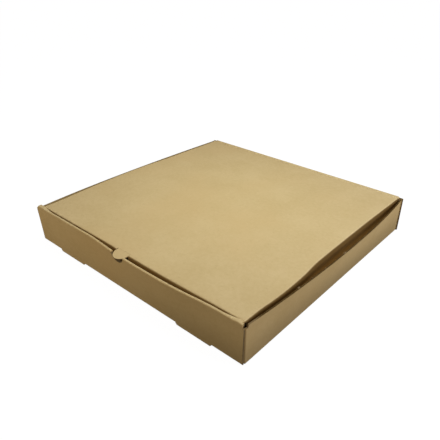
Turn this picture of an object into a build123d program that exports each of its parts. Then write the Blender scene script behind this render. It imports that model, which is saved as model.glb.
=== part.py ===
from build123d import *
import os

# Folding pizza box, one sheet of kraft corrugated board, shown closed.
# X runs along the front wall, Y runs back to the hinged rear wall, Z is up.
# The origin is the centre of the base panel's underside.

os.makedirs("parts", exist_ok=True)

# Main sizes, in millimetres.
box_width = 310.0
box_depth = 310.0
box_height = 44.2
board = 1.3
layer_gap = 0.2

# Folds: the outside radius of a pressed crease and of the lid's soft folds.
fold_outside = 1.7
lid_fold_outside = 2.0

# Side walls: the raw top edge bows outwards, more on the right than on the left.
side_wall_drop = 1.6
right_bow = 7.0
right_bow_place = 25.0
left_bow = 4.8
left_bow_place = -45.0
corner_drop = 4.2
corner_run = 1.6

# Roll-over front wall, two layers thick, three where it holds an ear.
roll_bow = 4.4
roll_bow_left_margin = 93.0
roll_bow_right_margin = 1.0
roll_crease = 1.3
roll_swell_run = 10.0
roll_swell_out = 1.2
roll_end_rise = 1.3
roll_rise_run = 6.0
roll_foot_inset = 1.2
roll_left_lean = 1.8
roll_left_round = 2.4
front_ear_length = 14.0
front_ear_top_drop = 14.0
ear_clearance = 0.2
rear_ear_length = 62.0
rear_ear_top_drop = 3.0
rear_ear_gap = 1.6
ear_slope = 6.0

# The hole at the right front corner, where the roll-over stops short.
hole_width = 3.8
hole_front_width = 0.8
hole_depth = 2.8
hole_shaft_depth = 15.0

# Feet and lock tabs.
foot_width = 45.5
foot_from_end = 59.5
foot_drop = 1.4
foot_corner = 1.6
lock_tab_width = 38.0
lock_tab_drop = 0.8
lock_tab_corner = 1.2

# Thumb notch and tab, a little left of the middle as in the photo.
tab_shift = -5.4
tab_width = 18.6
tab_reach = 10.2
tab_slit = 0.4
tab_droop = 8.0
notch_shift = -5.2
notch_radius = 10.4
notch_rise = 1.7

# Lid.
lid_below_roll = 0.8
lid_rear_rise = 1.2
lid_arch = 2.6
lid_arch_peak = 25.0
lid_side_gap = 2.5
lid_right_bulge = 2.4
lid_bulge_from_front = 20.0
lid_bulge_length = 102.0
lid_left_bulge = 3.2
lid_left_skew = 1.2
lid_left_bulge_from_rear = 95.0
lid_front_gap = 1.7
lid_corner_gap = 0.9
lid_front_bow = 1.4
lid_bow_left_margin = 111.0
lid_bow_right_margin = 26.0
side_flap_depth = 34.0
side_flap_slope = 9.0
front_flap_overlap = 5.0
front_flap_depth = 33.0
front_flap_lean = 2.4
front_flap_slope = 7.0
hinge_gap = 0.3

# Rear wall: its raw ends stand just proud of the side walls.
rear_overhang = 0.3

# Derived places.
half_width = box_width / 2
half_depth = box_depth / 2
fold_inside = fold_outside - board
lid_fold_inside = lid_fold_outside - board
flat_half_x = half_width - fold_outside
front_y = -half_depth
roll_middle = 2 * board + layer_gap
roll_end = 3 * board + 2 * ear_clearance
roll_straight = half_width - front_ear_length - roll_swell_run
roll_bow_start = roll_bow_left_margin - half_width
roll_bow_end = roll_straight - roll_bow_right_margin
ear_front_y = front_y + board + ear_clearance
ear_rear_y = half_depth - board - rear_ear_gap
side_wall_top = box_height - side_wall_drop
lid_top = box_height - lid_below_roll
hinge_y = half_depth - board / 2
hinge_z = lid_top + lid_rear_rise - board / 2
rear_wall_top = hinge_z - board / 2 - hinge_gap
lid_half = half_width - board - lid_side_gap
lid_front_y = front_y + roll_middle + lid_front_gap
lid_corner_y = front_y + roll_end + lid_corner_gap
lid_flap_bottom = lid_top - side_flap_depth
lid_bulge_front = front_y + lid_bulge_from_front
lid_bulge_rear = lid_bulge_front + lid_bulge_length
lid_left_bulge_rear = half_depth - lid_left_bulge_from_rear
lid_bow_start = lid_bow_left_margin - lid_half
lid_bow_end = lid_half - lid_bow_right_margin


def block(x_low, x_high, y_low, y_high, z_low, z_high):
    """A plain block between two corners."""
    middle = ((x_low + x_high) / 2, (y_low + y_high) / 2, (z_low + z_high) / 2)
    return Pos(*middle) * Box(x_high - x_low, y_high - y_low, z_high - z_low)


def bowed(start, end, bow, height):
    """An edge that leaves its line smoothly by the bow, and comes back."""
    a = Vector(start[0], start[1], height)
    b = Vector(end[0], end[1], height)
    if bow[0] == 0 and bow[1] == 0:
        return Edge.make_line(a, b)
    out = Vector(bow[0], bow[1], 0)
    run = b - a
    stops = [a + run * 0.25 + out * 0.7, a + run * 0.5 + out, a + run * 0.75 + out * 0.7]
    return Edge.make_spline([a] + stops + [b], tangents=[run, run])


def outline(corners, bows, height):
    """A closed outline seen from above, with some of its edges bowed."""
    edges = []
    for number, start in enumerate(corners):
        end = corners[(number + 1) % len(corners)]
        edges.append(bowed(start, end, bows.get(number, (0, 0)), height))
    return Wire(edges)


def prism(plane, points, depth):
    """A many-sided prism, drawn on a plane and taken both ways from it."""
    return extrude(plane * make_face(Polyline(*points, close=True)), depth, both=True)


def turned(solid):
    """The same thing on the other side of the box."""
    return mirror(solid, about=Plane.YZ)


# The YZ plane with its own x along Y and its own y along Z.
side_plane = Plane(origin=(0, 0, 0), x_dir=(0, 1, 0), z_dir=(1, 0, 0))
# The XZ plane with its own x along X and its own y along Z.
front_plane = Plane(origin=(0, 0, 0), x_dir=(1, 0, 0), z_dir=(0, -1, 0))


# Base panel, with a rounded fold along each of its four edges.
fold_ring = Circle(fold_outside) - Circle(fold_inside)
fold_section = fold_ring & (Pos(-fold_outside, -fold_outside) * Rectangle(2 * fold_outside, 2 * fold_outside))


def base_fold(half_length, setback):
    """A fold along Y on the left edge of a panel, centred on the X axis."""
    section = Plane(origin=(-setback, 0, fold_outside), x_dir=(1, 0, 0), z_dir=(0, -1, 0)) * fold_section
    return extrude(section, half_length, both=True)


base = block(-flat_half_x, flat_half_x, front_y + fold_outside, -front_y - fold_outside, 0, board)
front_fold = Rot(0, 0, 90) * base_fold(half_width - roll_foot_inset, half_depth - fold_outside)
rear_fold = Rot(0, 0, -90) * base_fold(half_width, half_depth - fold_outside)
wall_front_y = ear_front_y + fold_outside
wall_rear_y = ear_rear_y - fold_outside
wall_middle_y = (wall_front_y + wall_rear_y) / 2
wall_half_length = (wall_rear_y - wall_front_y) / 2
side_fold = Pos(0, wall_middle_y, 0) * base_fold(wall_half_length, flat_half_x)
tray = base + front_fold + rear_fold + side_fold + turned(side_fold)


# Roll-over front wall: one block, hollowed where the layers lie apart.
# Its ends swell outwards towards the top, where the ears push the layers apart.
def roll_outline(near, far_middle, far_end, spare, height):
    share = max(height - fold_outside, 0.0) / (box_height - fold_outside)
    swell_start = roll_straight
    swell_end = roll_straight + roll_swell_run
    right_end = half_width - roll_foot_inset * (1 - share) + spare
    left_end = roll_foot_inset * (1 - share) - half_width - roll_left_lean * share - spare
    end_near = near - roll_swell_out * share
    bow = roll_bow * share
    corners = [
        (left_end, front_y + end_near),
        (-swell_end, front_y + near),
        (roll_bow_start, front_y + near),
        (roll_bow_end, front_y + near),
        (swell_end, front_y + near),
        (right_end, front_y + end_near),
        (right_end, front_y + far_end),
        (swell_end, front_y + far_end),
        (swell_start, front_y + far_middle),
        (roll_bow_end, front_y + far_middle),
        (roll_bow_start, front_y + far_middle),
        (-swell_start, front_y + far_middle),
        (-swell_end, front_y + far_end),
        (left_end, front_y + far_end),
    ]
    return outline(corners, {2: (0, -bow), 9: (0, -bow)}, height)


def roll_block(near, far_middle, far_end, spare, low, high):
    wires = [roll_outline(near, far_middle, far_end, spare, height) for height in (low, high)]
    return Solid.make_loft(wires, ruled=True)


# The crest is level in the middle and rises over both ends.
roll = roll_block(0, roll_middle, roll_end, 0, fold_outside, box_height + roll_end_rise)
rise_low = roll_straight + roll_swell_run
rise_high = rise_low + roll_rise_run
crest_high = box_height + roll_end_rise
right_rise = Spline((rise_low, box_height), (rise_high, crest_high), tangents=[(1, 0), (1, 0)])
left_rise = Spline((-rise_high, crest_high), (-rise_low, box_height), tangents=[(1, 0), (1, 0)])
crest = [left_rise, Line((-rise_low, box_height), (rise_low, box_height)), right_rise]
over_crest = Polyline(
    (rise_high, crest_high),
    (half_width + 9, crest_high),
    (half_width + 9, crest_high + 9),
    (-half_width - 9, crest_high + 9),
    (-half_width - 9, crest_high - 9),
    (-half_width - roll_left_lean, crest_high - roll_left_round),
    (roll_left_round - half_width - roll_left_lean, crest_high),
    (-rise_high, crest_high),
)
roll = roll - extrude(front_plane * make_face(crest + [over_crest]), box_depth, both=True)
top_edges = [edge for edge in roll.edges() if (edge @ 0.5).Z > box_height - 0.1]
crease_edges = [edge for edge in top_edges if abs(edge.tangent_at(0.5).X) > 0.5]
roll = roll.fillet(roll_crease, crease_edges)
layer_space = roll_block(
    board,
    roll_middle - board,
    roll_end - board,
    1,
    fold_outside,
    box_height - board,
)
roll = roll - layer_space

# The notch goes through both layers.
notch = Pos(notch_shift, front_y, box_height + notch_rise) * Rot(90, 0, 0) * Cylinder(notch_radius, 30)
roll = roll - notch

# At the right front corner the crest is cut off slantwise, over an open shaft.
hole_top = box_height + roll_end_rise + 1
hole_back_y = front_y + roll_end + 1
crest_cut = prism(
    Plane.XY,
    [
        (half_width - hole_width, hole_back_y),
        (half_width - hole_front_width, front_y - 3),
        (half_width + 3, front_y - 3),
        (half_width + 3, hole_back_y),
    ],
    hole_depth,
)
roll = roll - Pos(0, 0, box_height) * crest_cut
shaft_low = box_height - hole_shaft_depth
roll = roll - block(half_width - hole_width, half_width + 1, front_y + board, hole_back_y, shaft_low, hole_top)

# The slots in the base leave their tongues on the outer panel, as feet.
# The inner panel's lock tabs come down into the same slots.
slot_back_y = front_y + roll_middle + layer_gap
tab_front_y = front_y + roll_middle - board
for side in (-1, 1):
    middle = side * (half_width - foot_from_end)
    foot_low = middle - foot_width / 2
    foot_high = middle + foot_width / 2
    tray = tray - block(foot_low, foot_high, front_y - 1, slot_back_y, -1, fold_outside)
    foot = block(foot_low, foot_high, front_y, front_y + board, -foot_drop, fold_outside + 1)
    foot = chamfer(foot.edges().filter_by(Axis.Y).group_by(Axis.Z)[0], foot_corner)
    tab_low = middle - lock_tab_width / 2
    tab_high = middle + lock_tab_width / 2
    lock_tab = block(tab_low, tab_high, tab_front_y, tab_front_y + board, -lock_tab_drop, fold_outside + 1)
    lock_tab = chamfer(lock_tab.edges().filter_by(Axis.Y).group_by(Axis.Z)[0], lock_tab_corner)
    roll = roll + foot + lock_tab


# Side wall: ruled from a straight fold up to a bowed raw edge.
def wall_edge(x, bow, place, height):
    """One long edge of the wall, straight or bowed out to its furthest place."""
    start = Vector(x, wall_front_y, height)
    end = Vector(x, wall_rear_y, height)
    if bow == 0:
        return Edge.make_line(start, end)
    leave = Vector(2 * bow, place - wall_front_y, 0)
    arrive = Vector(-2 * bow, wall_rear_y - place, 0)
    return Edge.make_spline([start, Vector(x + bow, place, height), end], tangents=[leave, arrive])


def wall_outline(bow, place, height):
    outer = wall_edge(half_width, bow, place, height)
    inner = wall_edge(half_width - board, bow, place, height)
    front_end = Edge.make_line(inner @ 0, outer @ 0)
    rear_end = Edge.make_line(outer @ 1, inner @ 1)
    return Wire([outer, rear_end, inner, front_end])


def side_wall(bow, place):
    wires = [wall_outline(0, place, fold_outside), wall_outline(bow, place, side_wall_top)]
    return Solid.make_loft(wires, ruled=True)


# Corner folds and ears: the front ear lies inside the roll-over front wall,
# the rear ear behind the rear wall.
ear_bottom = board + layer_gap
corner_top = box_height - corner_drop
front_ear_top = box_height - front_ear_top_drop
rear_ear_top = rear_wall_top - rear_ear_top_drop


def corner_fold(y, turn, top):
    corner = Plane(origin=(flat_half_x, y, fold_outside)) * (Rot(0, 0, turn) * fold_section)
    return extrude(corner, top - fold_outside)


front_corner = corner_fold(wall_front_y, 90, corner_top)
rear_corner = corner_fold(wall_rear_y, 180, rear_wall_top)
front_ear_end = half_width - front_ear_length
front_ear = prism(
    front_plane,
    [
        (flat_half_x, ear_bottom),
        (flat_half_x, front_ear_top),
        (front_ear_end + ear_slope, front_ear_top),
        (front_ear_end, front_ear_top - ear_slope),
        (front_ear_end, ear_bottom + ear_slope),
        (front_ear_end + ear_slope, ear_bottom),
    ],
    board / 2,
)
front_ear = Pos(0, ear_front_y + board / 2, 0) * front_ear
rear_ear_end = half_width - rear_ear_length
rear_ear = prism(
    front_plane,
    [
        (flat_half_x, ear_bottom),
        (flat_half_x, rear_ear_top),
        (rear_ear_end + ear_slope, rear_ear_top),
        (rear_ear_end, rear_ear_top - ear_slope),
        (rear_ear_end, ear_bottom + ear_slope),
        (rear_ear_end + ear_slope, ear_bottom),
    ],
    board / 2,
)
rear_ear = Pos(0, ear_rear_y - board / 2, 0) * rear_ear

# The side wall's front top corner is cut down beside the roll-over.
corner_cut_y = front_y + roll_end + layer_gap
corner_cut = prism(
    side_plane,
    [
        (front_y - 5, corner_top),
        (corner_cut_y, corner_top),
        (corner_cut_y + corner_run, box_height + 1),
        (front_y - 5, box_height + 1),
    ],
    box_width,
)
folds_and_ears = front_corner + rear_corner + front_ear + rear_ear
right_side = side_wall(right_bow, right_bow_place) - corner_cut + folds_and_ears
left_side = turned(side_wall(left_bow, left_bow_place) - corner_cut + folds_and_ears)

# Rear wall: a single layer whose raw ends stand past the side walls.
rear_half = half_width + rear_overhang
rear_wall = block(-rear_half, rear_half, half_depth - board, half_depth, fold_outside, rear_wall_top)
rear_wall = rear_wall + block(half_width, rear_half, half_depth - board, half_depth, 0, fold_outside)
rear_wall = rear_wall + block(-rear_half, -half_width, half_depth - board, half_depth, 0, fold_outside)

tray = tray + roll + right_side + left_side + rear_wall
tray = tray.clean()


# Lid: an outer body less an inner one leaves an even sheet with three flaps.
def lid_outline(inset, rear_y, height):
    share = (height - lid_flap_bottom) / side_flap_depth
    x = lid_half - inset
    y = lid_front_y + inset + front_flap_lean * (1 - share)
    right_bulge = lid_right_bulge * share
    left_bulge = lid_left_bulge * share
    bow = lid_front_bow * share
    corners = [
        (-x - lid_left_skew * share, y),
        (lid_bow_start, y),
        (lid_bow_end, y),
        (x, y),
        (x, lid_bulge_front),
        (x, lid_bulge_rear),
        (x, rear_y),
        (-x, rear_y),
        (-x, lid_left_bulge_rear),
    ]
    return outline(corners, {1: (0, -bow), 4: (right_bulge, 0), 8: (-left_bulge, 0)}, height)


def lid_body(inset, rear_y, low):
    wires = [lid_outline(inset, rear_y, low), lid_outline(inset, rear_y, lid_top + 10)]
    body = Solid.make_loft(wires, ruled=True)
    top = lid_top - inset
    rear_top = top + lid_rear_rise
    arch = Spline(
        (lid_front_y + 8, top),
        (lid_arch_peak - 90, top + 0.55 * lid_arch),
        (lid_arch_peak, top + lid_arch),
        (lid_arch_peak + 70, top + 0.6 * lid_arch + 0.4 * lid_rear_rise),
        (half_depth - 8, rear_top),
        tangents=[(1, 0), (1, 0)],
    )
    above = Polyline(
        (half_depth - 8, rear_top),
        (half_depth + 20, rear_top),
        (half_depth + 20, top + 30),
        (-half_depth - 20, top + 30),
        (-half_depth - 20, top),
        (lid_front_y + 8, top),
    )
    over = extrude(side_plane * make_face([arch, above]), box_width, both=True)
    body = body - over
    solid = body.solid()
    rim = [edge for edge in solid.edges() if (edge @ 0.5).Z > top - 0.5]
    rim = [edge for edge in rim if (edge @ 0.5).Y < rear_y - 1]
    rim = [edge for edge in rim if abs((edge @ 0.5).X) > lid_half - 8 or (edge @ 0.5).Y < lid_front_y + 5]
    return solid, rim


outer_body, outer_rim = lid_body(0, hinge_y, lid_flap_bottom)
outer_body = outer_body.fillet(lid_fold_outside, outer_rim)
inner_body, inner_rim = lid_body(board, hinge_y + 5, lid_flap_bottom - 1)
inner_body = inner_body.fillet(lid_fold_inside, inner_rim)
lid = outer_body - inner_body

# The front flap is narrower than the lid, and its ends slope.
flap_half = roll_straight + front_flap_overlap
flap_bottom = lid_top - front_flap_depth
corner_relief = prism(
    front_plane,
    [
        (flap_half, lid_top - board),
        (flap_half - front_flap_slope, flap_bottom - 5),
        (half_width + 5, flap_bottom - 5),
        (half_width + 5, lid_top - board),
    ],
    lid_fold_outside + 1,
)
corner_relief = Pos(0, lid_front_y + 1, 0) * corner_relief
corner_trim = block(flap_half, half_width, front_y, lid_corner_y, lid_flap_bottom - 5, box_height + 5)
lid = lid - corner_relief - turned(corner_relief) - corner_trim - turned(corner_trim)
lid = lid - block(-half_width, half_width, front_y, lid_front_y + 6, 0, flap_bottom)

# The side flaps start behind the front fold and end before the rear ears.
flap_front_y = lid_corner_y + lid_fold_outside
flap_rear_y = ear_rear_y - board - lid_fold_outside
side_trim_front = prism(
    side_plane,
    [
        (front_y, lid_top - board),
        (flap_front_y, lid_top - board),
        (flap_front_y + side_flap_slope, lid_flap_bottom - 1),
        (front_y, lid_flap_bottom - 1),
    ],
    (half_width - flap_half) / 2,
)
side_trim_front = Pos((half_width + flap_half) / 2, 0, 0) * side_trim_front
side_trim_rear = prism(
    side_plane,
    [
        (half_depth + 5, hinge_z - board / 2),
        (flap_rear_y, hinge_z - board / 2),
        (flap_rear_y - side_flap_slope, lid_flap_bottom - 1),
        (half_depth + 5, lid_flap_bottom - 1),
    ],
    half_width + 5,
)
lid = lid - side_trim_front - turned(side_trim_front) - side_trim_rear

# The thumb tab droops a little, and leaves its own shape in the flap.
tab_half = tab_width / 2
tab_root_y = lid_front_y + lid_fold_outside + 1
tab_length = tab_reach + lid_fold_outside + 1
slit_half = tab_half + tab_slit
slit_front_y = lid_front_y - lid_front_bow - 1
slit_back_y = lid_front_y + lid_fold_outside + tab_slit
flap_hole = Pos(tab_shift, (slit_front_y + slit_back_y) / 2, lid_top - board / 2)
flap_hole = flap_hole * Rot(90, 0, 0) * Cylinder(slit_half, slit_back_y - slit_front_y)
lid = lid - flap_hole
tip_y = tab_half - tab_length
tip = Pos(0, tip_y, board / 2) * Cylinder(tab_half, board)
tip = tip & block(-tab_half, tab_half, -tab_length - 1, tip_y, 0, board)
tab = block(-tab_half, tab_half, tip_y, 0, 0, board) + tip
lid = lid + Pos(tab_shift, tab_root_y, lid_top - board) * Rot(tab_droop, 0, 0) * tab

# The lid's rear edge is half round, about the hinge crease.
hinge_half = lid_half - lid_fold_outside
lid = lid + Pos(0, hinge_y, hinge_z) * Rot(0, 90, 0) * Cylinder(board / 2, 2 * hinge_half)

for name, body in (("tray", tray), ("lid", lid)):
    print(name, len(body.solids()), "solid", round(body.volume), "mm3", body.is_valid)
    print(body.bounding_box())
    export_step(body, f"parts/{name}.step")
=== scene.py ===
# %% [markdown]
# # A folding pizza box of plain kraft corrugated board
#
# The box is one die-cut sheet of thin corrugated board, folded and tucked together, with no glue.
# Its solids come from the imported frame: a tray, and a lid that turns on a crease.
# This script dresses them as paper and board. First come the frame and the camera, then the kraft paper, and then
# the details that show what the sheet is made of: raw edges, flutes, the paper at the hinge and the torn nicks.
# The floor and the light come last.

# %% Load the frame
import math

import bmesh
import bpy
from mathutils import Matrix, Vector


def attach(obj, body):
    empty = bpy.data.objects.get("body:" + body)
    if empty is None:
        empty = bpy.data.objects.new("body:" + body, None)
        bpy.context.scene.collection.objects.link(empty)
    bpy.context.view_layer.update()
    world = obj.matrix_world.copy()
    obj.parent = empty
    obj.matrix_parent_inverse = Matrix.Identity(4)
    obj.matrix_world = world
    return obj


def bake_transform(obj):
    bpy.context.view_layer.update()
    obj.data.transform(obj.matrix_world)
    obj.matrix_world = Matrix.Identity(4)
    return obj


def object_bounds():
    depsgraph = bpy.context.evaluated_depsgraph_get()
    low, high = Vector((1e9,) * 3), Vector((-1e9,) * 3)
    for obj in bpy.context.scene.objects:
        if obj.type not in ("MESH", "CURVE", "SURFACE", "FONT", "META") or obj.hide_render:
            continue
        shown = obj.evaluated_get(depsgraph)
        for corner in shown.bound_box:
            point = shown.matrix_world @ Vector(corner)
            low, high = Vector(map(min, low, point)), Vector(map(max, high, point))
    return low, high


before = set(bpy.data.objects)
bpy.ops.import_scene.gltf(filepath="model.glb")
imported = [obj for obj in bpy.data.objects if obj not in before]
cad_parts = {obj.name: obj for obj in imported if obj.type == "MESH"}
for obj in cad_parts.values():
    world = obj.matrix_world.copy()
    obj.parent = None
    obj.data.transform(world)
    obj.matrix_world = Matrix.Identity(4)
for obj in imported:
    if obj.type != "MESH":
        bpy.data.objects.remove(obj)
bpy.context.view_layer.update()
MM = 0.001

# %% [markdown]
# ## The camera
#
# The photograph was taken from the front right corner, looking down by about 29 degrees.
# The eye point and the lens were worked out from the box's corners, so the camera is placed by numbers, not by eye.
# A camera looks along its own -Z with +Y up, so its matrix is built from the view direction and a small roll.

# %% Camera
eye = Vector((332.96, -390.50, 307.15)) * MM
view_azimuth = math.radians(41.092)
view_down = math.radians(29.265)
view_roll = math.radians(0.478)
sensor_mm = 36.0
lens_mm = 39.30

forward = Vector((
    -math.sin(view_azimuth) * math.cos(view_down),
    math.cos(view_azimuth) * math.cos(view_down),
    -math.sin(view_down),
))
level_right = forward.cross(Vector((0, 0, 1))).normalized()
level_up = level_right.cross(forward)
right = level_right * math.cos(view_roll) + level_up * math.sin(view_roll)
up = level_up * math.cos(view_roll) - level_right * math.sin(view_roll)

camera = bpy.data.objects.new("camera", bpy.data.cameras.new("camera"))
bpy.context.scene.collection.objects.link(camera)
camera.data.sensor_width = sensor_mm
camera.data.lens = lens_mm
camera.data.clip_start = 0.02
camera.data.clip_end = 20.0
turn = Matrix((right, up, -forward)).transposed()
camera.matrix_world = Matrix.Translation(eye) @ turn.to_4x4()
bpy.context.scene.camera = camera
print("camera at", [round(v, 3) for v in eye], "lens", lens_mm)

# %% [markdown]
# ## Writing shader maths as plain expressions
#
# A material in Blender is a graph of nodes. Placing every node by hand hides the idea behind the wiring,
# so one small class wraps a socket and turns Python's own operators into Math nodes.
# Every other node comes from one method that takes its type, its settings and its inputs.
# The same class serves materials and Geometry Nodes, because both kinds of tree know the Math node.

# %% A socket that can be added and multiplied
class Value:
    """One output of a node. Sums and products of values make Math nodes."""

    def __init__(self, graph, socket):
        self.graph = graph
        self.socket = socket

    def maths(self, operation, *terms):
        return self.graph.node("ShaderNodeMath", {"operation": operation}, dict(enumerate(terms)))

    def __add__(self, other):
        return self.maths("ADD", self, other)

    def __sub__(self, other):
        return self.maths("SUBTRACT", self, other)

    def __rsub__(self, other):
        return self.maths("SUBTRACT", other, self)

    def __mul__(self, other):
        return self.maths("MULTIPLY", self, other)

    def __truediv__(self, other):
        return self.maths("DIVIDE", self, other)

    __radd__ = __add__
    __rmul__ = __mul__

    def magnitude(self):
        return self.maths("ABSOLUTE", self)

    def most(self, other):
        return self.maths("MAXIMUM", self, other)

    def sine(self):
        return self.maths("SINE", self)

    def rise(self, low, high):
        """0 below low, 1 above high, and a smooth rise between them."""
        settings = {"interpolation_type": "SMOOTHSTEP"}
        inputs = {"Value": self, "From Min": low, "From Max": high}
        return self.graph.node("ShaderNodeMapRange", settings, inputs)


class Graph:
    """A tree of nodes that is written as Python, whether it makes a material, a light or a shape."""

    def __init__(self, tree):
        self.tree = tree
        self.tree.nodes.clear()

    def node(self, kind, settings=None, inputs=None, output=0):
        made = self.tree.nodes.new(kind)
        for key, setting in (settings or {}).items():
            setattr(made, key, setting)
        for key, value in (inputs or {}).items():
            self.plug(made.inputs[key], value)
        return Value(self, made.outputs[output])

    def plug(self, socket, value):
        if isinstance(value, Value):
            self.tree.links.new(value.socket, socket)
        else:
            socket.default_value = value

    def out(self, shader, kind):
        """The last node of a material or of the world."""
        end = self.tree.nodes.new(kind)
        self.tree.links.new(shader.socket, end.inputs["Surface"])


print("values add, subtract, multiply and divide, and know magnitude, most, sine and rise")

# %% [markdown]
# ## A material under construction
#
# Every finish on the box starts in the same way: a place on the piece, some noise read at that place, and colours
# that are mixed by it. These steps are methods of one class, so each material below reads like a recipe.
# The place comes from Object coordinates. They are in metres, have no seams, and stay on the piece when it turns.

# %% Recipes for finishes
class Finish(Graph):
    """A material under construction."""

    def __init__(self, name):
        self.material = bpy.data.materials.new(name)
        self.material.use_nodes = True
        super().__init__(self.material.node_tree)

    def place(self, stretch=None):
        """The point on the piece, in metres, or stretched along its axes."""
        point = self.node("ShaderNodeTexCoord", output="Object")
        if stretch is None:
            return point
        return self.node("ShaderNodeMapping", {}, {"Vector": point, "Scale": stretch})

    def facing(self):
        """The way that the surface looks, in the piece's own axes."""
        return self.node("ShaderNodeTexCoord", output="Normal")

    def axes(self, vector):
        apart = self.node("ShaderNodeSeparateXYZ", {}, {0: vector})
        return [Value(self, socket) for socket in apart.socket.node.outputs]

    def noise(self, point, scale, detail, roughness):
        inputs = {"Vector": point, "Scale": scale, "Detail": detail, "Roughness": roughness}
        return self.node("ShaderNodeTexNoise", {"noise_dimensions": "3D"}, inputs)

    def blend_colour(self, share, low, high, mode="MIX"):
        settings = {"data_type": "RGBA", "blend_type": mode}
        return self.node("ShaderNodeMix", settings, {0: share, 6: low, 7: high}, output=2)

    def surface(self, inputs):
        self.out(self.node("ShaderNodeBsdfPrincipled", {}, inputs), "ShaderNodeOutputMaterial")
        return self.material


print("finishes are read from Object coordinates, one unit to the metre")

# %% [markdown]
# ## A shape under construction
#
# What repeats along the box's edges is grown by Geometry Nodes: the three papers of the raw edges, and the fibres
# of the nicks. A tree has named inputs for its sizes, so one tree serves both bodies. Its result could stay live as
# a modifier, but a piece that rides on a body does best as a plain mesh, so it is kept as one.

# %% Recipes for shapes
def add_piece(name, mesh):
    made = bpy.data.objects.new(name, mesh)
    bpy.context.scene.collection.objects.link(made)
    return made


class Shape(Graph):
    """A Geometry Nodes tree under construction, with named inputs."""

    def __init__(self, name, sizes):
        tree = bpy.data.node_groups.new(name, "GeometryNodeTree")
        super().__init__(tree)
        tree.interface.new_socket("Geometry", in_out="INPUT", socket_type="NodeSocketGeometry")
        tree.interface.new_socket("Geometry", in_out="OUTPUT", socket_type="NodeSocketGeometry")
        self.keys = {}
        for label, kind in sizes.items():
            made = tree.interface.new_socket(label, in_out="INPUT", socket_type="NodeSocket" + kind)
            self.keys[label] = made.identifier
        self.entry = tree.nodes.new("NodeGroupInput")
        self.end = tree.nodes.new("NodeGroupOutput")

    def given(self, label):
        return Value(self, self.entry.outputs[label])

    def attribute(self, label, kind):
        return self.node("GeometryNodeInputNamedAttribute", {"data_type": kind}, {"Name": label})

    def vector(self, operation, inputs):
        return self.node("ShaderNodeVectorMath", {"operation": operation}, inputs)

    def join(self, parts):
        made = self.tree.nodes.new("GeometryNodeJoinGeometry")
        for part in reversed(parts):
            self.tree.links.new(part.socket, made.inputs[0])
        return Value(self, made.outputs[0])

    def finish(self, geometry):
        """The last two steps of every tree: real geometry with its material."""
        real = self.node("GeometryNodeRealizeInstances", {}, {0: geometry})
        inputs = {"Geometry": real, "Material": self.given("Material")}
        dressed = self.node("GeometryNodeSetMaterial", {}, inputs)
        self.tree.links.new(dressed.socket, self.end.inputs[0])

    def apply(self, name, start, values):
        """Runs the tree on a start mesh and keeps the result as a plain mesh."""
        carrier = add_piece(name + "_start", start)
        modifier = carrier.modifiers.new("shape", "NODES")
        modifier.node_group = self.tree
        for label, value in values.items():
            modifier[self.keys[label]] = value
        bpy.context.view_layer.update()
        grown = carrier.evaluated_get(bpy.context.evaluated_depsgraph_get())
        mesh = bpy.data.meshes.new_from_object(grown)
        mesh.name = name
        bpy.data.objects.remove(carrier)
        bpy.data.meshes.remove(start)
        return add_piece(name, mesh)


print("shapes end in Realize Instances and Set Material")

# %% [markdown]
# ## Kraft paper
#
# Kraft liner is unbleached pulp: a warm brown with cloudy formation, long darker and paler fibres, and a few specks
# of bark. A photograph of real paper would be quicker to use, but noise that is read from the place on the piece
# has no seams, shows new detail from close by, and stays put when the lid turns.
# Each pattern is one noise, given by its ripples to the metre, its detail and its roughness.
# A fibre is a noise squeezed hard across its own way. A range says where a pattern starts to show, and where it
# shows in full. A share says how strongly it shows there.

# %% The colour of the pulp
KRAFT_PALE = (0.630, 0.492, 0.255, 1)
KRAFT_DEEP = (0.572, 0.436, 0.211, 1)
KRAFT_WARM = (0.610, 0.450, 0.215, 1)
FIBRE_DARK = (0.340, 0.230, 0.100, 1)
FIBRE_PALE = (0.730, 0.600, 0.350, 1)
CLOUDS = (22, 3.0, 0.55)
FLOCKS = (260, 4.0, 0.60)
DRIFT = (9, 2.0, 0.50)
DRIFT_SHIFT = (0.3, 0.7, 0.1)
FIBRES = (1.0, 2.0, 0.50)
LONG_WAY = (260, 1900, 1900)
CROSS_WAY = (1700, 330, 1700)
SPECK_CELLS = 420
SPECK_CHANCE = (150, 1.0, 0.50)
CLOUD_SHARE, FLOCK_SHARE, MIX_RANGE = 0.55, 0.45, (0.30, 0.70)
WARM_SHARE, WARM_RANGE = 0.55, (0.40, 0.72)
DARK_SHARE, DARK_RANGE = 0.28, (0.62, 0.74)
PALE_SHARE, PALE_RANGE = 0.26, (0.64, 0.76)
SPECK_SHARE, SPECK_SIZE, SPECK_RARITY = 0.50, (0.10, 0.22), (0.66, 0.70)


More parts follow.
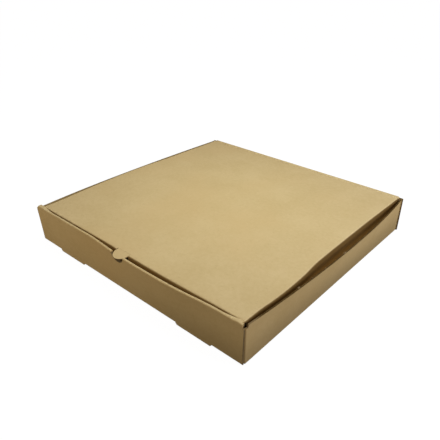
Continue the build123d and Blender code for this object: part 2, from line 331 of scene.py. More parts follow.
def pulp_colour(finish, point, flocks, long_fibres, cross_fibres):
    """Clouds and flocks, a slow drift of hue, fibres that lie both ways, and specks."""
    clouds = finish.noise(point, *CLOUDS)
    elsewhere = finish.node("ShaderNodeMapping", {}, {"Vector": point, "Location": DRIFT_SHIFT})
    drift = finish.noise(elsewhere, *DRIFT)
    cells = finish.node("ShaderNodeTexVoronoi", {}, {"Vector": point, "Scale": SPECK_CELLS})
    chance = finish.noise(point, *SPECK_CHANCE)
    mix = CLOUD_SHARE * clouds + FLOCK_SHARE * flocks
    specks = (1 - cells.rise(*SPECK_SIZE)) * chance.rise(*SPECK_RARITY)
    colour = finish.blend_colour(mix.rise(*MIX_RANGE), KRAFT_DEEP, KRAFT_PALE)
    colour = finish.blend_colour(WARM_SHARE * drift.rise(*WARM_RANGE), colour, KRAFT_WARM)
    colour = finish.blend_colour(DARK_SHARE * long_fibres.rise(*DARK_RANGE), colour, FIBRE_DARK)
    colour = finish.blend_colour(PALE_SHARE * cross_fibres.rise(*PALE_RANGE), colour, FIBRE_PALE)
    return finish.blend_colour(SPECK_SHARE * specks, colour, FIBRE_DARK)


print("pulp between", KRAFT_DEEP[:3], "and", KRAFT_PALE[:3])

# %% [markdown]
# ## Shade that is painted
#
# In the photograph the walls are a deeper and yellower brown than the lid, they darken a little towards the table,
# and the paper is darkest in the gap below the lid's folds. Most of that is probably shade. Plain lamps alone
# didn't give all of it, so the rest is painted, by the way that a face looks and by its place on the box.
# The cause isn't known for every part of it. The paint stays where it is when the lid or the light moves.

# %% Painted shade on the walls, below the folds and at the foot
UPRIGHT_SHADE_TONE = (0.95, 0.86, 0.70, 1)
FOLD_SHADE_BROWN = (0.096, 0.044, 0.002, 1)
BLACK = (0, 0, 0, 1)
LEVEL_FACE = (0.35, 0.85)
FOLD_FACE = (0.60, 0.93)
OUTWARD = (0.03, 0.09)
FOLD_HEIGHT = (30 * MM, 39 * MM)
FOLD_REAR = (149.5 * MM, 152.5 * MM)
FOLD_SHADE, FOLD_SHADE_SIDE = 0.60, 0.27
OUTER_FACE = (153.3 * MM, 154.3 * MM)
RIGHT_SIDE = (0, 153.8 * MM)
FOOT_HEIGHT = (-3.8 * MM, 38 * MM)
FOOT_SHADE, FOOT_SHADE_RIGHT = 0.09, 0.24


def fold_shade(finish, point, facing):
    """How much painted shade darkens the lid's outer faces just below its folds. The sides get more than the front.
    """
    x, y, z = finish.axes(point)
    out_x, out_y, out_z = finish.axes(facing)
    outward = (out_x * x + out_y * y).rise(*OUTWARD)
    below_fold = z.rise(*FOLD_HEIGHT) * (1 - y.rise(*FOLD_REAR)) * (1 - out_z.magnitude().rise(*FOLD_FACE))
    return outward * below_fold * (FOLD_SHADE + FOLD_SHADE_SIDE * out_x.magnitude())


def foot_shade(finish, point):
    """How much painted shade darkens the walls' outer faces towards the table, and more so towards the right wall."""
    x, y, z = finish.axes(point)
    outside = x.magnitude().most(y.magnitude()).rise(*OUTER_FACE)
    low = 1 - z.rise(*FOOT_HEIGHT)
    return outside * low * (FOOT_SHADE + FOOT_SHADE_RIGHT * x.rise(*RIGHT_SIDE))


def upright_shade_share(finish, facing):
    """How much painted shade a face gets: 1 on upright faces and 0 on level ones."""
    out_z = finish.axes(facing)[2]
    return 1 - out_z.magnitude().rise(*LEVEL_FACE)


strongest = (FOOT_SHADE + FOOT_SHADE_RIGHT, FOLD_SHADE + FOLD_SHADE_SIDE)
print("shade at most", round(strongest[0], 2), "at the foot and", round(strongest[1], 2), "below the folds")

# %% [markdown]
# ## The kraft of both bodies
#
# Paper is nearly matt, and its fibres stand up by a few hundredths of a millimetre. Under the liner the flutes of
# the board show as a very faint washboard, 3.2 mm apart. All of this is too fine for geometry, so it is a bump.
# Tray and lid are the same paper and differ only in the painted shade, so one recipe makes both materials.

# %% Kraft liner
FLUTE_PITCH = 3.2 * MM
WASHBOARD_HEIGHT, FLOCK_HEIGHT, LONG_HEIGHT, CROSS_HEIGHT = 0.18, 0.60, 0.25, 0.20
PAPER_BUMP = {"Strength": 0.35, "Distance": 0.06 * MM}
PAPER_MATT, PAPER_SMOOTHER = 0.88, 0.12
PAPER_GLOSS = 0.12


def paper_bump(finish, point, flocks, long_fibres, cross_fibres):
    along_depth = finish.axes(point)[1]
    washboard = (along_depth * (2 * math.pi / FLUTE_PITCH)).sine()
    height = WASHBOARD_HEIGHT * washboard + FLOCK_HEIGHT * flocks
    height = height + LONG_HEIGHT * long_fibres + CROSS_HEIGHT * cross_fibres
    return finish.node("ShaderNodeBump", {}, {**PAPER_BUMP, "Height": height})


def kraft(name, is_lid):
    finish = Finish(name)
    point, facing = finish.place(), finish.facing()
    flocks = finish.noise(point, *FLOCKS)
    long_fibres = finish.noise(finish.place(LONG_WAY), *FIBRES)
    cross_fibres = finish.noise(finish.place(CROSS_WAY), *FIBRES)
    colour = pulp_colour(finish, point, flocks, long_fibres, cross_fibres)
    # Painted shade: upright faces are deeper and yellower than level ones.
    colour = finish.blend_colour(upright_shade_share(finish, facing), colour, UPRIGHT_SHADE_TONE, "MULTIPLY")
    if is_lid:
        # Painted shade, darkest just below the lid's folds.
        colour = finish.blend_colour(fold_shade(finish, point, facing), colour, FOLD_SHADE_BROWN)
    else:
        # Painted shade, darker towards the table.
        colour = finish.blend_colour(foot_shade(finish, point), colour, BLACK)
    return finish.surface({
        "Base Color": colour,
        "Roughness": PAPER_MATT - flocks * PAPER_SMOOTHER,
        "Normal": paper_bump(finish, point, flocks, long_fibres, cross_fibres),
        "Specular IOR Level": PAPER_GLOSS,
    })


kraft_tray = kraft("kraft_tray", False)
kraft_lid = kraft("kraft_lid", True)
for name, skin in (("tray", kraft_tray), ("lid", kraft_lid)):
    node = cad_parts[name]
    node.data.materials.clear()
    node.data.materials.append(skin)
print("kraft on", sorted(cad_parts))

# %% [markdown]
# ## Where the board was cut
#
# Every edge that the die cut, and that isn't folded, shows the inside of the board: two thin liners with a wavy
# sheet between them. Those raw edges could be listed by hand, but the solids already know them:
# a raw edge is a face, or a smooth run of faces, that is just one board thick.
# The search needs a merged copy of each mesh. Extra edge lines go in where a raw edge runs on into a fold:
# where the front wall's layers part, and where the lid's fold ends on the rear wall.

# %% A merged copy of each solid
BOARD = 1.3 * MM
CREST_UNDERSIDE = 42.9 * MM
REAR_WALL = 150 * MM
FOLD_HALF_LENGTH = 149.2 * MM
X_AXIS, Z_AXIS = 0, 2
LAYERS_PART = (Z_AXIS, CREST_UNDERSIDE)
FOLD_ENDS = ((X_AXIS, -FOLD_HALF_LENGTH), (X_AXIS, FOLD_HALF_LENGTH))
CUTS = {"tray": (LAYERS_PART, *FOLD_ENDS), "lid": ()}
TOUCHING = 0.001 * MM
ON_THE_LINE = 0.002 * MM


def merged_copy(node, cuts):
    """A merged copy of a node's mesh, with an edge line at each cut. Cuts across x are made in the rear wall only."""
    copy = bmesh.new()
    copy.from_mesh(node.data)
    bmesh.ops.remove_doubles(copy, verts=copy.verts, dist=TOUCHING)
    for axis, level in cuts:
        faces = [face for face in copy.faces if axis == Z_AXIS or face.calc_center_median().y > REAR_WALL]
        edges = {edge for face in faces for edge in face.edges}
        verts = {vert for face in faces for vert in face.verts}
        on_plane = [level if i == axis else 0 for i in range(3)]
        square_to = [1 if i == axis else 0 for i in range(3)]
        every = list(verts) + list(edges) + faces
        bmesh.ops.bisect_plane(copy, geom=every, dist=TOUCHING, plane_co=on_plane, plane_no=square_to)
    copy.normal_update()
    for group in (copy.verts, copy.edges, copy.faces):
        group.ensure_lookup_table()
        group.index_update()
    return copy


copies = {name: merged_copy(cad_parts[name], CUTS[name]) for name in CUTS}
for name, copy in copies.items():
    print(name, len(copy.verts), "points and", len(copy.faces), "faces after merging")

# %% [markdown]
# ## Growing patches
#
# A patch starts at one face and takes in its neighbours for as long as they belong to it. Flat raw edges are found
# by comparing each neighbour with the first face. Bowed ones turn a little from face to face, so there each
# neighbour is compared with the one before it. A patch never crosses a cut.

# %% Grow patches of neighbouring faces
FLAT_TURN = math.radians(4)
CURVED_TURN = math.radians(20)


def same_plane(seed, edge, other):
    return seed.normal.angle(other.normal, math.pi) < FLAT_TURN


def smooth_run(seed, edge, other):
    return edge.calc_face_angle(math.pi) < CURVED_TURN


def on_cut(edge, cuts):
    return any(all(abs(v.co[axis] - level) < ON_THE_LINE for v in edge.verts) for axis, level in cuts)


def grow_patches(faces, cuts, joins):
    """Groups of neighbouring faces, none of which crosses a cut."""
    free = {face.index for face in faces}
    patches = []
    for seed in faces:
        if seed.index not in free:
            continue
        free.discard(seed.index)
        patch, waiting = [], [seed]
        while waiting:
            face = waiting.pop()
            patch.append(face)
            for edge in face.edges:
                if on_cut(edge, cuts):
                    continue
                for other in edge.link_faces:
                    if other.index in free and joins(seed, edge, other):
                        free.discard(other.index)
                        waiting.append(other)
        patches.append(patch)
    return patches


for name, copy in copies.items():
    print(name, len(grow_patches(list(copy.faces), CUTS[name], same_plane)), "flat patches")

# %% [markdown]
# ## Which patches are raw edges
#
# A long strip of length L and width W has the area L x W and half the outline L + W, so both can be solved from
# the patch's area and outline, whatever way it bends. A patch that is one board wide is a raw edge,
# unless it is one of the folds, or stands on the base where nobody sees it.

# %% Find the raw edges
WIDTH_RANGE = (0.85 * BOARD, 1.14 * BOARD)
SMALLEST_AREA = 1.5 * MM * MM
MOSTLY = 0.5
BASE_TOP = (1.0 * MM, 3.0 * MM)
LID_FOLD = 153.5 * MM


def border_steps(patch):
    """The outline of a patch, as a walk from point to point with the patch on its left."""
    inside = {face.index for face in patch}
    steps = {}
    for face in patch:
        for loop in face.loops:
            if sum(other.index in inside for other in loop.edge.link_faces) == 1:
                steps[loop.vert.index] = loop.link_loop_next.vert
    return steps


def is_raw(patch, steps, copy):
    area = sum(face.calc_area() for face in patch)
    half_way_round = sum((copy.verts[start].co - end.co).length for start, end in steps.items()) / 2
    width = (half_way_round - math.sqrt(max(half_way_round ** 2 - 4 * area, 0))) / 2
    return area > SMALLEST_AREA and WIDTH_RANGE[0] < width < WIDTH_RANGE[1]


def is_folded(patch, cuts):
    """The folds to the lid and over the front wall aren't cut, and edges that stand on the base can't be seen."""
    middle = sum((face.calc_center_median() for face in patch), Vector()) / len(patch)
    upward = patch[0].normal.z
    on_base = upward < -MOSTLY and BASE_TOP[0] < middle.z < BASE_TOP[1]
    lid_fold = upward > MOSTLY and middle.y > LID_FOLD and abs(middle.x) < FOLD_HALF_LENGTH
    crest = len(cuts) > 0 and middle.z > CREST_UNDERSIDE and middle.y < 0
    return on_base or lid_fold or crest


def raw_patches(copy, cuts):
    """Flat patches first, and then curved ones among the faces that are left."""
    left, found = list(copy.faces), []
    for joins in (same_plane, smooth_run):
        taken = set()
        for patch in grow_patches(left, cuts, joins):
            steps = border_steps(patch)
            if is_raw(patch, steps, copy):
                taken.update(face.index for face in patch)
                if not is_folded(patch, cuts):
                    found.append((patch, steps))
        left = [face for face in left if face.index not in taken]
    return found


raw = {name: raw_patches(copies[name], CUTS[name]) for name in copies}
for name in raw:
    area = sum(face.calc_area() for patch, steps in raw[name] for face in patch)
    print(name, len(raw[name]), "raw edges,", round(area / (MM * MM)), "square millimetres")

# %% [markdown]
# ## The dark inside of the board
#
# Looked at end on, the board is mostly hollow, so a raw edge is much darker than the paper. The dark ground under
# the cut papers is painted shade of that hollow, and partly the darker paper inside it. The photograph shows the raw
# edges darkest on the right wall and behind it, and paler everywhere else, and a mask by place paints that as shade.
# Why isn't known, so a mask by place copies it. Paper deep in the cut catches little light, so it needs no fibres,
# only a brown that varies.

# %% Colour of the hollow board
HOLLOW_DARK = (0.055, 0.030, 0.006, 1)
HOLLOW_BROWN = (0.105, 0.060, 0.015, 1)
HOLLOW_PALE = (0.230, 0.155, 0.068, 1)
HOLLOW_PATCHES, HOLLOW_RANGE = (700, 2.0, 0.5), (0.35, 0.70)
HOLLOW_MATT, HOLLOW_MATTER = 0.92, 0.06
EDGE_GLOSS = 0.05
SHADED_CUTS_FROM_X = (148 * MM, 152 * MM)
SHADED_CUTS_FROM_Y = (-145 * MM, -130 * MM)


def shaded_cuts(finish):
    """Where the raw edges get painted shade: 1 on the right wall and behind it, where the photograph shows them dark,
    and 0 elsewhere.
    """
    x, y = finish.axes(finish.place())[:2]
    return x.rise(*SHADED_CUTS_FROM_X) * y.rise(*SHADED_CUTS_FROM_Y)


def hollow_board():
    """Painted shade of the hollow board, and partly its darker paper: dark brown, and a little lighter here and
    there.
    """
    finish = Finish("hollow_board")
    patches = finish.noise(finish.place(), *HOLLOW_PATCHES)
    colour = finish.blend_colour(patches.rise(*HOLLOW_RANGE), HOLLOW_DARK, HOLLOW_BROWN)
    return finish.surface({
        "Base Color": finish.blend_colour(shaded_cuts(finish), HOLLOW_PALE, colour),
        "Roughness": HOLLOW_MATT + patches * HOLLOW_MATTER,
        "Specular IOR Level": EDGE_GLOSS,
    })


hollow = hollow_board()
print("material", hollow.name)

# %% [markdown]
# ## A ground under every raw edge
#
# The dark ground could be a second material on the solid's own faces, but the solid's mesh is left alone.
# So each patch is copied, lifted by a hair and closed underneath into a thin shell.
# The cut ends of the papers will stand on it.

# %% Dark ground for the raw edges
GROUND_LIFT = 0.03 * MM
GROUND_DEPTH = 0.12 * MM


def ground_shells(patches):
    """One mesh of thin closed shells, each lying on a raw edge."""
    points, faces = [], []
    for patch, steps in patches:
        turned = {}
        for face in patch:
            for vert in face.verts:
                turned.setdefault(vert.index, [vert.co, Vector()])[1] += face.normal * face.calc_area()
        place = {}
        for index, (co, normal) in turned.items():
            place[index] = len(points)
            points.append(co + normal.normalized() * GROUND_LIFT)
            points.append(co - normal.normalized() * GROUND_DEPTH)
        for face in patch:
            ring = [place[vert.index] for vert in face.verts]
            faces.append(ring)
            faces.append([number + 1 for number in reversed(ring)])
        for start, end in steps.items():
            a, b = place[start], place[end.index]
            faces.append([b, a, a + 1, b + 1])
    return points, faces


for name in raw:
    mesh = bpy.data.meshes.new(name + "_edge_ground")
    points, faces = ground_shells(raw[name])
    mesh.from_pydata(points, [], faces)
    mesh.validate()
    mesh.materials.append(hollow)
    ground_piece = add_piece(name + "_edge_ground", mesh)
    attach(ground_piece, name)
    "kraft_board_" + name
    print(ground_piece.name, len(mesh.polygons), "faces")

# %% [markdown]
# ## Flutes
#
# On each raw edge stand the cut ends of the two liners and of the wavy sheet between them. They follow the middle
# line of the edge. It could be drawn by hand for every edge, but a long thin patch already has two rails:
# its outline is cut at its corners into four sides, and the two long ones are the rails.

# %% The outline as four sides
CORNER_TURN = math.radians(40)


def walk(steps, copy):
    """The outline as a list of points, in order."""
    first = min(steps)
    points, index = [], first
    while True:
        points.append(copy.verts[index].co.copy())
        index = steps[index].index
        if index == first or index not in steps:
            return points


def sides_of(points):
    """The outline cut at its corners."""
    count = len(points)
    corners = []
    for i in range(count):
        into = points[i] - points[i - 1]
        out = points[(i + 1) % count] - points[i]
        if into.length > 0 and out.length > 0 and into.angle(out) > CORNER_TURN:
            corners.append(i)
    sides = []
    for a, b in zip(corners, corners[1:] + corners[:1]):
        length = (b - a) % count
        sides.append([points[(a + k) % count] for k in range(length + 1)])
    return sides


def length_of(line):
    return sum((b - a).length for a, b in zip(line, line[1:]))


def point_at(line, share):
    """The point at a share of a line's length."""
    left = share * length_of(line)
    for a, b in zip(line, line[1:]):
        step = (b - a).length
        if left <= step:
            return a.lerp(b, left / step) if step > 0 else a.copy()
        left -= step
    return line[-1].copy()


for name in raw:
    four = sum(len(sides_of(walk(steps, copies[name]))) == 4 for patch, steps in raw[name])
    print(name, four, "raw edges have four sides")

# %% [markdown]
# ## Stations on the middle line
#
# The wave is seen only where the cut crosses the flutes. Where it runs along them, the middle sheet is a straight
# line. The flutes run along the box's width in the base and the lid, and upright in the folded side walls and ears.
# So each station on the middle line carries three attributes for Geometry Nodes: the way across the board,
# the way out of the cut, and how far the line has gone across the flutes so far.

# %% The middle line of each raw edge
SHORTEST_EDGE = 2.5 * MM
STATION_GAP = 2.0 * MM
EAR_HALF_DEPTH = 153.4 * MM
EAR_FROM_MIDDLE = 90 * MM
MOSTLY_ACROSS = 0.7
STRAIGHT_DOWN = -0.9


def flute_way(across, middle, body):
    """The direction of the flutes in the sheet whose thickness runs this way."""
    side_wall = abs(across.x) > MOSTLY_ACROSS
    near_corner = abs(middle.x) > EAR_FROM_MIDDLE and abs(middle.y) < EAR_HALF_DEPTH
    ear = body == "tray" and near_corner and abs(across.y) > MOSTLY_ACROSS
    return Vector((0, 0, 1)) if side_wall or ear else Vector((1, 0, 0))


def middle_lines(patches, copy, body):
    """Points, edges and attributes of the lines that the flutes follow."""
    points, edges, across_all, outward_all, crossed_all = [], [], [], [], []
    for patch, steps in patches:
        sides = sides_of(walk(steps, copy))
        if len(sides) != 4:
            continue
        if length_of(sides[0]) + length_of(sides[2]) < length_of(sides[1]) + length_of(sides[3]):
            sides = sides[1:] + sides[:1]
        near, far = sides[0], list(reversed(sides[2]))
        length = length_of(near)
        under_a_foot = patch[0].normal.z < STRAIGHT_DOWN and near[0].z < 0
        if length < SHORTEST_EDGE or under_a_foot:
            continue
        count = max(int(length / STATION_GAP), 2)
        pairs = [(point_at(near, i / count), point_at(far, i / count)) for i in range(count + 1)]
        crossed = 0.0
        for i, (a, b) in enumerate(pairs):
            middle = (a + b) / 2
            before, after = pairs[max(i - 1, 0)], pairs[min(i + 1, count)]
            run = (after[0] + after[1] - before[0] - before[1]).normalized()
            across = (b - a).normalized()
            if i > 0:
                step = middle - points[-1]
                along = step.dot(flute_way(across, middle, body))
                crossed += math.sqrt(max(step.length_squared - along * along, 0))
                edges.append((len(points) - 1, len(points)))
            points.append(middle)
            across_all.append(across)
            outward_all.append(run.cross(across).normalized())
            crossed_all.append(crossed)
    return points, edges, across_all, outward_all, crossed_all


def line_mesh(name, lines):
    points, edges, across, outward, crossed = lines
    mesh = bpy.data.meshes.new(name)
    mesh.from_pydata(points, edges, [])
    for label, vectors in (("across", across), ("outward", outward)):
        attribute = mesh.attributes.new(label, "FLOAT_VECTOR", "POINT")
        attribute.data.foreach_set("vector", [value for vector in vectors for value in vector])
    mesh.attributes.new("crossed", "FLOAT", "POINT").data.foreach_set("value", crossed)
    return mesh


lines = {name: middle_lines(raw[name], copies[name], name) for name in raw}
for name in lines:
    points, edges = lines[name][:2]
    print(name, len(points), "stations on", len(points) - len(edges), "edges")

# %% [markdown]
# ## The fuzzy cut ends
#
# The cut ends of the papers look fuzzy, darker than the liner's face and with paler fibres in them. They are a
# fraction of a millimetre wide, so modelled fibres wouldn't show, and a fine noise and a small bump are enough.

# %% Cut ends of the papers
CUT_DARK = ((0.110, 0.066, 0.020, 1), (0.210, 0.136, 0.048, 1))
CUT_PALE = ((0.300, 0.212, 0.098, 1), (0.430, 0.318, 0.158, 1))
CUT_FIBRES, CUT_FIBRE_SHARE = (2600, 3.0, 0.6), 0.6
CUT_CLOUDS, CUT_CLOUD_SHARE = (90, 2.0, 0.5), 0.4
CUT_RANGE = (0.35, 0.68)
CUT_BUMP = {"Strength": 0.5, "Distance": 0.05 * MM}
CUT_MATT, CUT_SMOOTHER = 0.96, 0.08


def cut_paper():
    """The cut ends of the three papers, darkened by painted shade on the right wall and behind it, and paler
    elsewhere.
    """
    finish = Finish("cut_paper")
    fibres = finish.noise(finish.place(), *CUT_FIBRES)
    clouds = finish.noise(finish.place(), *CUT_CLOUDS)
    share = (CUT_FIBRE_SHARE * fibres + CUT_CLOUD_SHARE * clouds).rise(*CUT_RANGE)
    pale, dark = finish.blend_colour(share, *CUT_PALE), finish.blend_colour(share, *CUT_DARK)
    return finish.surface({
        # Painted shade on the right wall and behind it.
        "Base Color": finish.blend_colour(shaded_cuts(finish), pale, dark),
        "Roughness": CUT_MATT - fibres * CUT_SMOOTHER,
        "Normal": finish.node("ShaderNodeBump", {}, {**CUT_BUMP, "Height": fibres}),
        "Specular IOR Level": EDGE_GLOSS,
    })


cut = cut_paper()
print("material", cut.name)

# %% [markdown]
# ## A wave that follows every cut
#
# The papers repeat along sixty edges, some straight and some bowed, so they are grown by Geometry Nodes
# and not placed one by one. The tree turns each line into a curve, divides it evenly, and sweeps one small
# rectangle three times: once for each liner, and once for the middle paper, which is pushed to and fro by a sine
# of the flutes that have been crossed. The wave costs no more work than a straight line.

# %% Flutes by Geometry Nodes
LINER = 0.17 * MM
FLUTE_RISE = 0.30 * MM
FLUTE_STEP = 0.42 * MM
WAVE_ROOM = 1.6
WAVE_RISE = 0.8

flutes = Shape("flutes", {
    "Step": "Float",
    "Pitch": "Float",
    "Liner": "Float",
    "Rise": "Float",
    "Half board": "Float",
    "Material": "Material",
})
liner, half_board = flutes.given("Liner"), flutes.given("Half board")
line = flutes.node("GeometryNodeMeshToCurve", {}, {0: flutes.given("Geometry")})
line = flutes.node("GeometryNodeResampleCurve", {"mode": "LENGTH"}, {"Curve": line, "Length": flutes.given("Step")})
across = flutes.attribute("across", "FLOAT_VECTOR")
outward = flutes.attribute("outward", "FLOAT_VECTOR")
crossed = flutes.attribute("crossed", "FLOAT")
line = flutes.node("GeometryNodeSetCurveNormal", {"mode": "FREE"}, {"Curve": line, "Normal": outward})
wave = (crossed * (2 * math.pi) / flutes.given("Pitch")).sine()
liner_place = half_board - liner * 0.5
wave_place = wave * (half_board - liner * WAVE_ROOM)
papers = []
for sideways, share in ((liner_place, 1.0), (liner_place * -1, 1.0), (wave_place, WAVE_RISE)):
    rise = flutes.given("Rise") * share
    to_side = flutes.vector("SCALE", {0: across, "Scale": sideways})
    to_front = flutes.vector("SCALE", {0: outward, "Scale": rise * 0.5})
    shift = flutes.vector("ADD", {0: to_side, 1: to_front})
    moved = flutes.node("GeometryNodeSetPosition", {}, {"Geometry": line, "Offset": shift})
    section = flutes.node("GeometryNodeCurvePrimitiveQuadrilateral", {}, {"Width": rise, "Height": liner})
    swept = {"Curve": moved, "Profile Curve": section, "Fill Caps": True}
    papers.append(flutes.node("GeometryNodeCurveToMesh", {}, swept))
flutes.finish(flutes.join(papers))

for name in lines:
    piece = flutes.apply(name + "_flutes", line_mesh(name + "_lines", lines[name]), {
        "Step": FLUTE_STEP,
        "Pitch": FLUTE_PITCH,
        "Liner": LINER,
        "Rise": FLUTE_RISE,
        "Half board": BOARD / 2,
        "Material": cut,
    })
    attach(piece, name)
    "kraft_board_" + name
    heights = [vert.co.z for vert in piece.data.vertices]
    triangles = sum(len(polygon.vertices) - 2 for polygon in piece.data.polygons)
    print(piece.name, triangles, "triangles, z", round(min(heights), 5), round(max(heights), 5))

# %% [markdown]
# ## The paper that bends at the hinge
#
# The lid isn't a second part: the outer liner runs on from the rear wall round the crease and over the lid.
# The solids have a hair of room there, so that they can turn. One thin strip of paper covers it.
# Its line goes up the rear wall, round a quarter of a circle about the hinge, and on over the lid. The paper is
# proudest at the crease and sinks away towards both edges of the strip, so that no step shows.

# %% The line round the crease
CREASE_Y, CREASE_Z = 154.35 * MM, 43.95 * MM
CREASE_RADIUS = 0.65 * MM
CREASE_FOOT = 40.0 * MM
CREASE_EDGE = 149.0 * MM
CREASE_PROUD = 0.13 * MM
ARC_STEPS = 8
UP_THE_WALL = ((0.0, 0.0), (0.25, 0.6), (0.55, 1.0), (0.8, 1.0))
OVER_THE_LID = ((0.3, 1.0), (0.6, 0.6), (1.0, 0.0))


def crease_profile():
    """Points and outward ways of the strip's line, with how proud the paper stands there."""
    line = []
    for share, proud in UP_THE_WALL:
        height = CREASE_FOOT + share * (CREASE_Z - CREASE_FOOT)
        line.append((Vector((CREASE_Y + CREASE_RADIUS, height)), Vector((1, 0)), proud))
    for i in range(ARC_STEPS + 1):
        turned = math.pi / 2 * i / ARC_STEPS
        way = Vector((math.cos(turned), math.sin(turned)))
        line.append((Vector((CREASE_Y, CREASE_Z)) + way * CREASE_RADIUS, way, 1.0))
    for share, proud in OVER_THE_LID:
        depth = CREASE_Y + share * (CREASE_EDGE - CREASE_Y)
        line.append((Vector((depth, CREASE_Z + CREASE_RADIUS)), Vector((0, 1)), proud))
    return line


crease_line = crease_profile()
print("crease line", len(crease_line), "points")

# %% [markdown]
# ## A strip over the crease
#
# A rigid strip would tear off the lid or the tray when the lid opens, yet this one is a single rigid mesh, laid over
# the closed crease. It is closed, with an upper and a lower skin, because an open sheet would show a backside.

# %% Crease strip
CREASE_SUNK = 0.05 * MM
CREASE_STATIONS = 60


def crease_strip(line):
    """The line pushed out for the upper skin, pushed in for the lower one, and swept along x."""
    outer = [place + way * (CREASE_PROUD * proud) for place, way, proud in line]
    inner = [place - way * CREASE_SUNK for place, way, proud in line]
    ring = outer + list(reversed(inner))
    points, faces = [], []
    for i in range(CREASE_STATIONS + 1):
        x = FOLD_HALF_LENGTH * (2 * i / CREASE_STATIONS - 1)
        points.extend((x, place.x, place.y) for place in ring)
    count = len(ring)
    for i in range(CREASE_STATIONS):
        for k in range(count):
            a, b = i * count + k, i * count + (k + 1) % count
            faces.append((a, b, b + count, a + count))
    faces.append(tuple(reversed(range(count))))
    faces.append(tuple(CREASE_STATIONS * count + k for k in range(count)))
    mesh = bpy.data.meshes.new("hinge_crease")
    mesh.from_pydata(points, [], faces)
    shape = bmesh.new()
    shape.from_mesh(mesh)
    bmesh.ops.recalc_face_normals(shape, faces=shape.faces)
    shape.to_mesh(mesh)
    shape.free()
    return mesh


crease = add_piece("hinge_crease", crease_strip(crease_line))
crease.data.materials.append(kraft_lid)
for polygon in crease.data.polygons:
    polygon.use_smooth = True
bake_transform(crease)
print("crease strip", len(crease.data.polygons), "faces")

# %% [markdown]
# ## Where the nicks are
#
# A die holds the sheet together by tiny uncut nicks until it is stripped out. Each one tears and leaves a tuft of
# fibres on the edge. Four of them show on the right wall's top edge, and their places are read from the photograph.
# The wall is bowed, so a short table says how far its top edge leans out. Each fibre gets one point, set out by a
# fixed rule and not by chance.

# %% Points for the fibres
NICKS = ((-81.5, 3.0, 1.0), (-60.5, 1.6, 0.6), (-38.5, 1.6, 0.6), (-2.0, 3.4, 1.15))
WALL_TOP = 42.6 * MM
WALL_FOOT_X = 155.0 * MM
WALL_BOW = ((-152, 0), (-110, 2.2), (-70, 4.5), (-30, 6.2), (10, 6.9), (30, 7.0), (70, 6.0), (110, 3.3), (152, 0))
FIBRES_PER_MM = 18
FIBRE_INSET = 0.12
FIBRE_SPREAD = 0.75
ROOT_DEPTH = 0.05 * MM
SPREAD_STEP, SPREAD_PLACES = 7, 11


def bow_at(y):
    """How far the right wall's top leans out, in millimetres."""
    for (y0, out0), (y1, out1) in zip(WALL_BOW, WALL_BOW[1:]):
        if y0 <= y <= y1:
            return out0 + (out1 - out0) * (y - y0) / (y1 - y0)
    return 0.0


def nick_points():
    """One point for each fibre, on the outer half of the wall's top edge, in a fixed order."""
    points, tall = [], []
    for y, length, height in NICKS:
        count = int(length * FIBRES_PER_MM)
        for i in range(count):
            share = (i + 0.5) / count
            deep = (i * SPREAD_STEP % SPREAD_PLACES) / SPREAD_PLACES
            at_y = y + (share - 0.5) * length
            out = WALL_FOOT_X + bow_at(at_y) * MM - (FIBRE_INSET + FIBRE_SPREAD * deep) * MM
            points.append((out, at_y * MM, WALL_TOP - ROOT_DEPTH))
            tall.append(height * math.sin(math.pi * share) ** 0.5)
    mesh = bpy.data.meshes.new("nick_points")
    mesh.from_pydata(points, [], [])
    mesh.attributes.new("tall", "FLOAT", "POINT").data.foreach_set("value", tall)
    return mesh


nicks = nick_points()
print(len(nicks.vertices), "fibres on", len(NICKS), "nicks")

# %% [markdown]
# ## Torn pulp
#
# Torn fibres are loose and matt, and much paler than the raw edge that they stand on. They are thin, so a plain
# colour would nearly do, but one noise between two browns gives each fibre its own shade.

# %% Torn pulp
TORN_DARK = (0.360, 0.255, 0.125, 1)
TORN_PALE = (0.600, 0.460, 0.260, 1)
TORN_SHADES, TORN_RANGE = (1800, 2.0, 0.5), (0.3, 0.7)
TORN_MATT, TORN_SMOOTHER, TORN_GLOSS = 0.95, 0.08, 0.15


def torn_fibre():
    """Pale torn pulp."""
    finish = Finish("torn_fibre")
    shades = finish.noise(finish.place(), *TORN_SHADES)
    return finish.surface({
        "Base Color": finish.blend_colour(shades.rise(*TORN_RANGE), TORN_DARK, TORN_PALE),
        "Roughness": TORN_MATT - shades * TORN_SMOOTHER,
        "Specular IOR Level": TORN_GLOSS,
    })


torn = torn_fibre()
print("material", torn.name)

# %% [markdown]
# ## Tufts
#
# A tuft is a few dozen bent fibres. Each could be modelled, but they are all alike, so Geometry Nodes makes one
# short curved fibre, puts it on every point, and turns and scales it at random from a fixed seed.

# %% Tufts by Geometry Nodes
TIP_ASIDE = 0.45
BELLY_ASIDE, BELLY_HEIGHT = -0.1, 0.7
FIBRE_SIDES = 4
SMALLEST_FIBRE, LARGEST_FIBRE = 0.5, 1.1
TUFT_SEED = 7

tufts = Shape("tufts", {
    "Length": "Float",
    "Thickness": "Float",
    "Lean": "Float",
    "Seed": "Int",
    "Material": "Material",
})
length, lean, seed = tufts.given("Length"), tufts.given("Lean"), tufts.given("Seed")
tip = tufts.node("ShaderNodeCombineXYZ", {}, {"X": length * TIP_ASIDE, "Z": length})
belly = tufts.node("ShaderNodeCombineXYZ", {}, {"X": length * BELLY_ASIDE, "Z": length * BELLY_HEIGHT})
bent = {"Resolution": FIBRE_SIDES, "Start": (0, 0, 0), "Middle": belly, "End": tip}
bend = tufts.node("GeometryNodeCurveQuadraticBezier", {}, bent)
round_one = {"Resolution": FIBRE_SIDES, "Radius": tufts.given("Thickness")}
section = tufts.node("GeometryNodeCurvePrimitiveCircle", {"mode": "RADIUS"}, round_one)
fibre = tufts.node("GeometryNodeCurveToMesh", {}, {"Curve": bend, "Profile Curve": section, "Fill Caps": True})
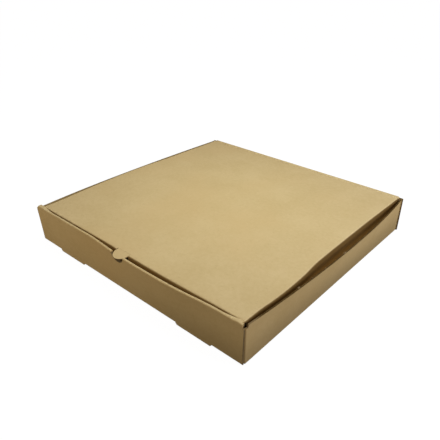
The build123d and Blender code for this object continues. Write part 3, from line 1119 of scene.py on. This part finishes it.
roots = tufts.node("GeometryNodeMeshToPoints", {}, {0: tufts.given("Geometry")})
low_turn = tufts.node("ShaderNodeCombineXYZ", {}, {"X": lean * -1, "Y": lean * -1, "Z": -math.pi})
high_turn = tufts.node("ShaderNodeCombineXYZ", {}, {"X": lean, "Y": lean, "Z": math.pi})
between = {"Min": low_turn, "Max": high_turn, "Seed": seed}
turned = tufts.node("FunctionNodeRandomValue", {"data_type": "FLOAT_VECTOR"}, between)
between = {2: SMALLEST_FIBRE, 3: LARGEST_FIBRE, "Seed": seed + 1}
grown = tufts.node("FunctionNodeRandomValue", {"data_type": "FLOAT"}, between, output=1)
planted = {"Points": roots, "Instance": fibre, "Rotation": turned, "Scale": grown * tufts.attribute("tall", "FLOAT")}
tufts.finish(tufts.node("GeometryNodeInstanceOnPoints", {}, planted))
piece = tufts.apply("nick_tufts", nicks, {
    "Length": 1.5 * MM,
    "Thickness": 0.08 * MM,
    "Lean": 0.9,
    "Seed": TUFT_SEED,
    "Material": torn,
})
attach(piece, "tray")
print("nick tufts", len(piece.data.polygons), "faces")

# %% [markdown]
# ## Floor
#
# The photograph has a pure white ground. A floor that is really white would light the walls from below, and more
# light on it would burn out the paper. So the floor shows white to the camera, with a faint shadow, and sends back
# much less light than it shows. The left part sends back more than the right one, which was set by comparing tones
# with the photograph.

# %% White floor
FLOOR_GAP = 0.05 * MM
FLOOR_HALF = 6.0
WHITE = (1, 1, 1, 1)
WHITE_STRENGTH = 1.055
SHADOW_SHARE = 0.08
BOUNCE_LEFT = (0.42, 0.36, 0.28, 1)
BOUNCE_RIGHT = (0.02, 0.02, 0.02, 1)
BOUNCE_RANGE = (-0.20, 0.20)


def flat_sheet(name, half, z):
    mesh = bpy.data.meshes.new(name)
    corners = [(-half, -half, z), (half, -half, z), (half, half, z), (-half, half, z)]
    mesh.from_pydata(corners, [], [(0, 1, 2, 3)])
    return add_piece(name, mesh)


def floor_white():
    ground = Finish("floor_white")
    to_camera = ground.node("ShaderNodeLightPath", output="Is Camera Ray")
    to_gloss = ground.node("ShaderNodeLightPath", output="Is Glossy Ray")
    from_left = ground.axes(ground.place())[0].rise(*BOUNCE_RANGE)
    bounce = ground.blend_colour(from_left, BOUNCE_LEFT, BOUNCE_RIGHT)
    matte = ground.node("ShaderNodeBsdfDiffuse", {}, {"Color": bounce})
    shaded = ground.node("ShaderNodeBsdfDiffuse", {}, {"Color": WHITE})
    white = ground.node("ShaderNodeEmission", {}, {"Color": WHITE, "Strength": WHITE_STRENGTH})
    shown = ground.node("ShaderNodeMixShader", {}, {0: SHADOW_SHARE, 1: white, 2: shaded})
    either = ground.node("ShaderNodeMixShader", {}, {0: to_camera.most(to_gloss), 1: matte, 2: shown})
    ground.out(either, "ShaderNodeOutputMaterial")
    return ground.material


floor_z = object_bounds()[0].z - FLOOR_GAP
floor = flat_sheet("floor", FLOOR_HALF, floor_z)
floor.data.materials.append(floor_white())
print("floor at", round(floor_z, 5))

# %% [markdown]
# ## Light
#
# The box in the photograph looks lit by a soft lamp close above the lid, with weaker light on both walls. A dim and
# slightly warm world fills the shade, and shows white to the camera. Each lamp is a soft disk. Their places, powers
# and tints were fitted until the tones on the lid and the walls agreed with the photograph.

# %% World and lamps
AMBIENT = 0.40
AMBIENT_COLOUR = (1.05, 0.94, 0.93, 1)
LAMPS = (
    # name, place, target, size, power, colour
    ("overhead", (0.020, 0.012, 0.42), (0.020, 0.012, 0), 0.24, 0.78, (0.94, 1.0, 0.90)),
    ("right", (0.62, 0.12, 0.26), (0.155, 0.06, 0.02), 0.30, 1.90, (0.78, 0.83, 1.0)),
    ("front", (-0.20, -0.80, 0.16), (-0.02, -0.155, 0.02), 0.30, 0.76, (0.86, 0.88, 0.82)),
)


def studio_world():
    world = bpy.data.worlds.new("studio")
    world.use_nodes = True
    sky = Graph(world.node_tree)
    ambient = sky.node("ShaderNodeBackground", {}, {"Color": AMBIENT_COLOUR, "Strength": AMBIENT})
    shown = sky.node("ShaderNodeBackground", {}, {"Color": WHITE, "Strength": 1.0})
    to_camera = sky.node("ShaderNodeLightPath", output="Is Camera Ray")
    sky.out(sky.node("ShaderNodeMixShader", {}, {0: to_camera, 1: ambient, 2: shown}), "ShaderNodeOutputWorld")
    return world


def lamp(name, place, target, size, power, colour):
    data = bpy.data.lights.new(name, "AREA")
    data.shape = "DISK"
    data.size = size
    data.energy = power
    data.color = colour
    made = bpy.data.objects.new(name, data)
    bpy.context.scene.collection.objects.link(made)
    aim = Vector(target) - Vector(place)
    made.rotation_mode = "QUATERNION"
    made.rotation_quaternion = aim.to_track_quat("-Z", "Y")
    made.location = place


bpy.context.scene.world = studio_world()
for settings in LAMPS:
    lamp(*settings)
bpy.context.scene.view_settings.view_transform = "Standard"
print("lamps", [settings[0] for settings in LAMPS], "ambient", AMBIENT)
